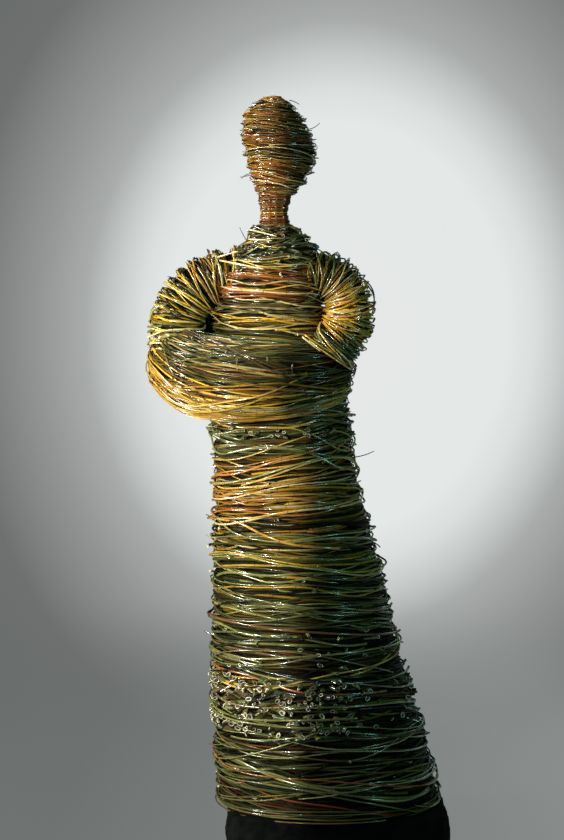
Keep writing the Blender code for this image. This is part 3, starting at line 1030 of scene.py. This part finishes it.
def cut_ends(name, places, replaced, tones=(BROWN, OLIVE, MOSS)):
    """places: form, angle, distance along, radius, how far it sticks out, and how far it turns sideways."""
    shape = bmesh.new()
    for form, angle, climb, radius, reach, aside in places:
        here = spot(form, angle, climb, reach)
        outer = spot(form, angle, climb, reach + 0.01) - here
        beside = spot(form, angle + 0.02, climb, reach) - here
        outer.normalize()
        beside.normalize()
        droop = Vector((0.0, 0.0, rng.normal(0.0, 0.25)))
        ahead = outer * math.cos(aside) + beside * math.sin(aside) + droop
        turn = ahead.to_track_quat("Z", "Y").to_matrix().to_4x4()
        spin = Matrix.Rotation(rng.uniform(0.0, math.tau), 4, "Z")
        first = len(shape.verts)
        shape.from_mesh(cut_end)
        shape.verts.ensure_lookup_table()
        new = shape.verts[first:]
        tone_layer, shade_layer = (shape.verts.layers.float[label] for label in ("tone", "shade"))
        tone, shade = pick(*[(value, 1) for value in tones]), rng.uniform(0.7, 1.1)
        for vertex in new:
            vertex[tone_layer] = tone
            vertex[shade_layer] = shade
        size = Matrix.Diagonal((radius * 2, radius * 2, radius * 2, 1.0))
        drop = Matrix.Translation((0.0, 0.0, -BUTT_LENGTH / 2))
        bmesh.ops.transform(shape, matrix=Matrix.Translation(here) @ turn @ spin @ size @ drop, verts=new)
    mesh = bpy.data.meshes.new(name)
    shape.to_mesh(mesh)
    shape.free()
    for finish in (bark, cut_wood, pith):
        mesh.materials.append(finish)
    mesh.shade_smooth()
    mesh.set_sharp_from_angle(angle=math.radians(40.0))
    print(len(places), "cut ends:", end=" ")
    finish_piece(name, mesh, replaced)


# %% Cut ends on the skirt and torso
# Each row: how many, between two heights and two angles in degrees, their radius and how far they reach.
SKIRT_ENDS = [
    (270, 0.270, 0.405, 172, 294, 0.0051),
    (60, 0.29, 0.40, 296, 530, 0.0052),
    (26, 0.41, 0.52, 175, 330, 0.0046),
    (30, 0.42, 0.95, 0, 360, 0.0030),
    (34, 0.966, 0.990, 190, 315, 0.0038, 0.011),
    (14, 0.96, 1.02, 330, 540, 0.0034),
    (20, 0.12, 0.28, 0, 360, 0.0032),
]
TORSO_ENDS = [(26, 1.04, 1.38, 0, 360, 0.0026), (44, 1.37, 1.46, 0, 360, 0.0036, 0.007)]
CHEST_ENDS = [              # x and height of the ones that stand out on the chest
    (-0.165, 1.379), (-0.145, 1.382), (-0.123, 1.393), (-0.095, 1.396), (-0.080, 1.425), (-0.052, 1.301),
    (-0.060, 1.300), (-0.224, 1.379), (-0.236, 1.395), (-0.232, 1.360), (-0.075, 1.418), (-0.140, 1.402),
]


def scatter(form, count, low, high, first, last, radius, reach=0.005):
    """Cut ends between two heights and two angles, given in degrees."""
    places = []
    for _ in range(count):
        climb = form.climb_at(rng.uniform(low, high))
        places.append((form, math.radians(rng.uniform(first, last)), climb, radius * rng.uniform(0.8, 1.2),
                       reach + rng.normal(0.0, 0.002), rng.choice([-1.0, 1.0]) * rng.uniform(0.1, 0.9)))
    return places


def at_front(form, across, height):
    """The angle and the distance along of the skin's front at this x and this height."""
    climb = form.climb_at(height)
    middle = float(np.interp(climb, form.along, form.middles[:, 0]))
    half = float(np.interp(climb, form.along, form.half_first))
    return -math.acos(max(-1.0, min(1.0, (across - middle) / half))), climb


rng = np.random.default_rng(601)
skirt_ends = [place for row in SKIRT_ENDS for place in scatter(body_form, *row)]
cut_ends("skirt_cut_ends", skirt_ends, NODES_BODY)
torso_ends = [place for row in TORSO_ENDS for place in scatter(body_form, *row)]
for across, height in CHEST_ENDS:
    place = at_front(body_form, across, height)
    torso_ends.append((body_form, *place, 0.0034, 0.004, rng.uniform(-0.8, 0.8)))
cut_ends("torso_cut_ends", torso_ends, NODES_BODY)


# %% Cut ends on the arms and head
def scatter_on(form, count, radius, reach):
    """Cut ends anywhere on a form but near its ends."""
    return [(form, rng.uniform(0.0, math.tau), rng.uniform(0.1, 0.9) * form.length,
             radius * rng.uniform(0.8, 1.2), reach + rng.normal(0.0, 0.002), rng.uniform(-1.2, 1.2))
            for _ in range(count)]


cut_ends("right_arm_cut_ends", scatter_on(right_arm_form, 44, 0.0030, 0.005), ["right_arm"])
cut_ends("left_arm_cut_ends", scatter_on(left_arm_form, 36, 0.0030, 0.005), ["left_arm"])
cut_ends("forearms_cut_ends", scatter_on(sheaf_form, 60, 0.0024, 0.001), ["forearms"])
cut_ends("head_cut_ends", scatter_on(head_form, 26, 0.0018, 0.002), ["head_and_neck"],
         (ORANGE, BROWN))

# %% [markdown]
# ## Stray twigs
#
# A few rods have sprung out of the winding. Each is given as three places, and its middle one bends it.
# Over the crown, where the winding ends, short rods lie in every direction and close it.

# %% Close the crown
CROWN_STEPS = 9


def crown_rods(count):
    """Short rods laid over the crown in every direction, which close the winding and make it ragged."""
    top_place = head_form.middles[-1]
    rods = []
    for _ in range(count):
        way, half = rng.uniform(0.0, math.tau), rng.uniform(0.016, 0.030)
        ahead = np.array([math.cos(way), math.sin(way), 0.0])
        beside = np.array([-ahead[1], ahead[0], 0.0]) * rng.normal(0.0, 0.009)
        share = np.linspace(-1.0, 1.0, CROWN_STEPS)[:, None]
        lift = rng.uniform(-0.004, 0.001) - 0.011 * (half / 0.03) ** 2 * share ** 2
        bow = np.array([0.0, 0.0, 1.0]) * lift + beside * (1.0 - 0.5 * share ** 2)
        rods.append(Rod(top_place + ahead * half * share + bow,
                        np.full(CROWN_STEPS, rng.uniform(0.0010, 0.0016)), head_tone(0.0),
                        rng.uniform(0.4, 1.1)))
    return rods


rng = np.random.default_rng(651)
lay_rods("crown_rods", crown_rods(26), 0, ["head_and_neck"])

# %% Lay stray twigs
TWIG_STEPS = 12
# Each twig's start, middle and end, its radius at the butt and at the tip, and its tone.
TWIGS = [
    ("head_twigs", ["head_and_neck"], "brown_willow", [
        ((-0.205, -0.010, 1.590), (-0.222, -0.012, 1.586), (-0.238, -0.014, 1.583), 0.0012, 0.0008, BROWN),
        ((-0.208, -0.010, 1.592), (-0.226, -0.010, 1.592), (-0.234, -0.010, 1.580), 0.0011, 0.0008, BROWN),
        ((-0.078, -0.020, 1.697), (-0.062, -0.020, 1.696), (-0.047, -0.018, 1.712), 0.0012, 0.0008, BROWN),
        ((-0.196, -0.010, 1.728), (-0.214, -0.012, 1.726), (-0.222, -0.012, 1.718), 0.0012, 0.0009, BROWN),
        ((-0.165, -0.020, 1.768), (-0.178, -0.020, 1.774), (-0.190, -0.020, 1.768), 0.0012, 0.0009, ORANGE),
        ((-0.120, -0.020, 1.766), (-0.108, -0.020, 1.764), (-0.096, -0.020, 1.756), 0.0012, 0.0009, BROWN),
    ]),
    ("collar_twigs", NODES_BODY, "willow", [
        ((-0.222, -0.035, 1.432), (-0.232, -0.040, 1.448), (-0.238, -0.038, 1.463), 0.0012, 0.0007, BROWN),
        ((-0.150, -0.092, 1.440), (-0.185, -0.086, 1.450), (-0.216, -0.060, 1.457), 0.0018, 0.0022, PALE),
        ((-0.160, -0.090, 1.430), (-0.190, -0.080, 1.433), (-0.218, -0.050, 1.434), 0.0016, 0.0020, PALE),
        ((-0.160, -0.072, 1.450), (-0.185, -0.060, 1.456), (-0.206, -0.040, 1.468), 0.0016, 0.0020, BROWN),
        ((-0.285, -0.060, 1.384), (-0.240, -0.125, 1.374), (-0.178, -0.146, 1.362), 0.0027, 0.0020, PALE),
        ((-0.290, -0.075, 1.391), (-0.265, -0.100, 1.398), (-0.240, -0.118, 1.404), 0.0022, 0.0018, PALE),
        ((-0.080, 0.020, 1.428), (-0.056, 0.025, 1.430), (-0.050, 0.015, 1.412), 0.0016, 0.0013, DARK),
        ((-0.066, 0.000, 1.412), (-0.040, 0.005, 1.414), (-0.036, 0.010, 1.396), 0.0016, 0.0013, DARK),
    ]),
    ("left_arm_twigs", ["left_arm"], "willow", [
        ((-0.085, -0.222, 1.210), (-0.030, -0.240, 1.168), (0.026, -0.205, 1.146), 0.0018, 0.0017, GOLD),
        ((0.026, -0.205, 1.146), (0.042, -0.196, 1.136), (0.033, -0.190, 1.134), 0.0017, 0.0017, MOSS),
        ((0.033, -0.190, 1.134), (-0.020, -0.215, 1.160), (-0.074, -0.214, 1.196), 0.0017, 0.0014, PALE),
        ((0.060, -0.045, 1.330), (0.098, -0.052, 1.300), (0.074, -0.060, 1.250), 0.0020, 0.0016, DARK),
        ((0.050, -0.010, 1.345), (0.096, -0.020, 1.320), (0.080, -0.030, 1.270), 0.0018, 0.0016, DARK),
        ((-0.090, -0.225, 1.205), (-0.066, -0.236, 1.186), (-0.048, -0.232, 1.172), 0.0022, 0.0020, PALE),
    ]),
    ("skirt_twigs", NODES_BODY, "willow", [
        ((0.005, -0.060, 0.914), (0.048, -0.050, 0.910), (0.084, -0.040, 0.928), 0.0018, 0.0009, BROWN),
        ((-0.275, -0.100, 0.772), (-0.300, -0.070, 0.768), (-0.318, -0.050, 0.776), 0.0018, 0.0014, BROWN),
        ((-0.275, -0.090, 0.727), (-0.300, -0.066, 0.718), (-0.318, -0.046, 0.726), 0.0018, 0.0014, MOSS),
        ((-0.285, -0.060, 0.488), (-0.305, -0.045, 0.484), (-0.324, -0.030, 0.492), 0.0018, 0.0014, BROWN),
        ((-0.265, -0.110, 0.220), (-0.290, -0.080, 0.212), (-0.312, -0.050, 0.222), 0.0020, 0.0016, BROWN),
        ((0.200, -0.060, 0.140), (0.258, -0.050, 0.128), (0.236, -0.040, 0.088), 0.0022, 0.0018, DARK),
        ((0.190, -0.080, 0.165), (0.245, -0.070, 0.150), (0.222, -0.060, 0.112), 0.0022, 0.0018, OLIVE),
    ]),
]


def bend_twig(start, middle, end, butt, tip, tone):
    start, middle, end = (np.array(place) for place in (start, middle, end))
    share = np.linspace(0.0, 1.0, TWIG_STEPS)[:, None]
    points = start * (1 - share) ** 2 + 2 * middle * share * (1 - share) + end * share ** 2
    return Rod(points, np.linspace(butt, tip, TWIG_STEPS), tone, 1.0)


for name, replaced, slot, twigs in TWIGS:
    lay_rods(name, [bend_twig(*twig) for twig in twigs], 1, replaced)


# %% Rods that sag over the hem
def hem_tone(_climb):
    return pick((OLIVE, 3), (BROWN, 2), (MOSS, 1))


rng = np.random.default_rng(701)
hem_rods = wind_hanks(body_form, 0.001, 0.010, 0.0, PITCH * 0.5, 0.5, 0.001, hem_tone, shade=(0.4, 1.0),
                      limit=(0.004, 0.004))
for rod in hem_rods:
    front = np.clip((-rod.points[:, 1] - 0.02) / 0.18, 0.0, 1.0)      # they sag most at the front
    rod.points[:, 2] -= rng.uniform(0.002, 0.007) * front
lay_rods("hem_rods", hem_rods, 1, NODES_BODY)

# %% [markdown]
# ## The base
#
# The low black base is roughly broken. It starts from the solid's own mesh, which is split finer and pushed
# in and out by a few millimetres of noise.

# %% Roughen the base
LONGEST_EDGE = 0.026        # m
LUMP_SCALE, LUMP_HEIGHT, LUMP_SINK = 22.0, 0.0035, 0.0015
BROKEN_FROM, BROKEN_OVER = 0.040, 0.035     # m of height, the upper side edges are broken off
BROKEN_SIDE = 0.15          # m from the middle


def rough_base():
    shape = bmesh.new()
    shape.from_mesh(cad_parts["base"].data)
    bmesh.ops.remove_doubles(shape, verts=shape.verts, dist=0.0001)
    bmesh.ops.dissolve_limit(shape, angle_limit=math.radians(1.0), verts=shape.verts, edges=shape.edges)
    bmesh.ops.triangulate(shape, faces=shape.faces)
    for _ in range(4):
        long_edges = [edge for edge in shape.edges if edge.calc_length() > LONGEST_EDGE]
        bmesh.ops.subdivide_edges(shape, edges=long_edges, cuts=1, use_grid_fill=False)
        bmesh.ops.triangulate(shape, faces=shape.faces)
    shape.normal_update()
    moves = [vertex.normal * (noise.fractal(vertex.co * LUMP_SCALE, 0.7, 2.0, 4) * LUMP_HEIGHT - LUMP_SINK)
             for vertex in shape.verts]
    for vertex, move in zip(shape.verts, moves):
        vertex.co += move
        broken = min(1.0, max(0.0, (vertex.co.z - BROKEN_FROM) / BROKEN_OVER))
        if vertex.co.x > BROKEN_SIDE:
            vertex.co.x -= 0.010 * broken * (vertex.co.x - BROKEN_SIDE) / 0.12
            vertex.co.z -= 0.014 * broken * max(0.0, vertex.co.y / 0.24)
        elif vertex.co.x < -BROKEN_SIDE:
            vertex.co.x -= 0.008 * (1.0 - broken)
        vertex.co.z = max(vertex.co.z, 0.0)
    mesh = bpy.data.meshes.new("base_rock")
    shape.to_mesh(mesh)
    shape.free()
    mesh.materials.append(black)
    mesh.shade_smooth()
    mesh.set_sharp_from_angle(angle=math.radians(28.0))
    finish_piece("base_rock", mesh, ["base"])


rough_base()

# %% [markdown]
# ## Floor and background
#
# A plain pale floor fades into a pale background, which is brightest behind the shoulders. Both glow a
# little by themselves, so that they keep their tone wherever the lamps fall.

# %% Floor
FLOOR_RADIUS = 6.0
GLOW_SIDES, GLOW = (-0.7, 0.7), (0.150, 0.270)      # darker at the left than at the right
FADE = (0.6, 4.5)           # m from the middle, between which the floor fades away


def floor():
    shape = bmesh.new()
    bmesh.ops.create_circle(shape, cap_ends=True, segments=96, radius=FLOOR_RADIUS)
    mesh = bpy.data.meshes.new("floor")
    shape.to_mesh(mesh)
    shape.free()
    finish, tree, shader = new_material("pale_floor", 0.9)
    where = node(tree, "ShaderNodeTexCoord").outputs["Object"]
    side = node(tree, "ShaderNodeSeparateXYZ", {0: where}).outputs["X"]
    far = node(tree, "ShaderNodeVectorMath", {0: where}, operation="LENGTH").outputs["Value"]
    feed(tree, shader, {"Base Color": (0.008, 0.008, 0.008, 1.0), "Specular IOR Level": 0.1,
                        "Emission Color": (0.93, 1.0, 0.98, 1.0),
                        "Emission Strength": span(tree, side, GLOW_SIDES, GLOW),
                        "Alpha": span(tree, far, FADE, (1.0, 0.0), interpolation_type="SMOOTHSTEP")})
    mesh.materials.append(finish)
    ground = bpy.data.objects.new("floor", mesh)
    bpy.context.scene.collection.objects.link(ground)


floor()

# %% Background
POOL_MIDDLE, POOL_SIZE = (0.025, -0.012), (0.250, 0.300)
POOL = [(0.22, 0.79), (0.30, 0.79), (0.35, 0.72), (0.40, 0.57), (0.45, 0.40), (0.53, 0.30), (0.67, 0.160)]
AMBIENT = (0.018, 0.050, 0.048, 1.0)


def background():
    """A pale background with a bright pool behind the shoulders. It lights the scene weakly."""
    world = bpy.data.worlds.new("studio")
    bpy.context.scene.world = world
    world.use_nodes = True
    tree = world.node_tree
    where = node(tree, "ShaderNodeTexCoord").outputs["Generated"]
    (middle_x, middle_z), (width, height) = POOL_MIDDLE, POOL_SIZE
    pool = node(tree, "ShaderNodeMapping", {"Vector": where, "Scale": (1 / width, 0.0, 1 / height),
                                            "Location": (-middle_x / width, 0.0, -middle_z / height)},
                vector_type="POINT").outputs["Vector"]
    far = node(tree, "ShaderNodeVectorMath", {0: pool}, operation="LENGTH").outputs["Value"]
    greys = [(place, (value * 0.98, value * 1.02, value * 1.01)) for place, value in POOL]
    colour = ramp(tree, far, [(0.0, (0.79, 0.80, 0.80)), *greys, (1.0, (0.110, 0.135, 0.125))])
    seen = node(tree, "ShaderNodeLightPath").outputs["Is Camera Ray"]
    chosen = node(tree, "ShaderNodeMix", {"Factor": seen, "A": AMBIENT, "B": colour}, data_type="RGBA")
    feed(tree, tree.nodes["Background"], {"Color": chosen.outputs["Result"]})


background()
print("floor and background:", [item.name for item in bpy.data.worlds], FLOOR_RADIUS, "m")

# %% [markdown]
# ## Light
#
# A strong key lamp stands at the left, nearly level with the chest, so the right side falls into shadow. A
# lamp at the front left has its beam's rim laid down the middle of the figure, and a small one picks out
# the left arm. A weak greenish fill and a weak lamp behind keep the shadows readable.


# %% Lamps
def hang(light, place, aim, power, colour):
    light.energy = power
    light.color = colour
    holder = bpy.data.objects.new(light.name, light)
    holder.location = place
    holder.rotation_euler = (Vector(aim) - Vector(place)).to_track_quat("-Z", "Y").to_euler()
    bpy.context.scene.collection.objects.link(holder)


def lamp(name, place, aim, width, height, power, colour):
    light = bpy.data.lights.new(name, "AREA")
    light.shape = "RECTANGLE"
    light.size = width
    light.size_y = height
    hang(light, place, aim, power, colour)


def shuttered_lamp(name, place, aim, angle, soft, radius, power, colour):
    """A lamp with a round beam of this angle, whose rim is this soft."""
    light = bpy.data.lights.new(name, "SPOT")
    light.spot_size = math.radians(angle)
    light.spot_blend = soft
    light.shadow_soft_size = radius
    hang(light, place, aim, power, colour)


lamp("key", (-2.98, -0.66, 1.60), (-0.10, 0.0, 1.05), 0.8, 0.4, 145.0, (1.0, 1.0, 0.95))
shuttered_lamp("front_left", (-3.12, -5.40, 1.70), (-6.030, -0.208, 0.941), 118.0, 0.013, 0.030, 1980.0,
               (0.97, 1.0, 0.93))
shuttered_lamp("left_arm_lamp", (-2.40, -1.90, 1.90), (-0.010, -0.12, 1.230), 6.4, 0.8, 0.05, 440.0,
               (1.0, 0.99, 0.92))
lamp("fill_right", (3.3, -2.6, 2.1), (-0.10, 0.0, 1.2), 1.0, 0.5, 34.0, (0.32, 0.96, 0.92))
lamp("back_right", (1.8, 3.2, 2.0), (-0.10, 0.0, 0.9), 1.6, 1.6, 8.0, (0.80, 1.0, 0.88))
bpy.context.scene.view_settings.view_transform = "Standard"
print("lamps:", [item.name for item in bpy.data.lights])

# %% [markdown]
# ## Finish
#
# The triangles of every piece are added up. The rods and twigs may stand a few millimetres past the
# solids, and no more.

# %% Finish
print("triangles in all", sum(triangles.values()))
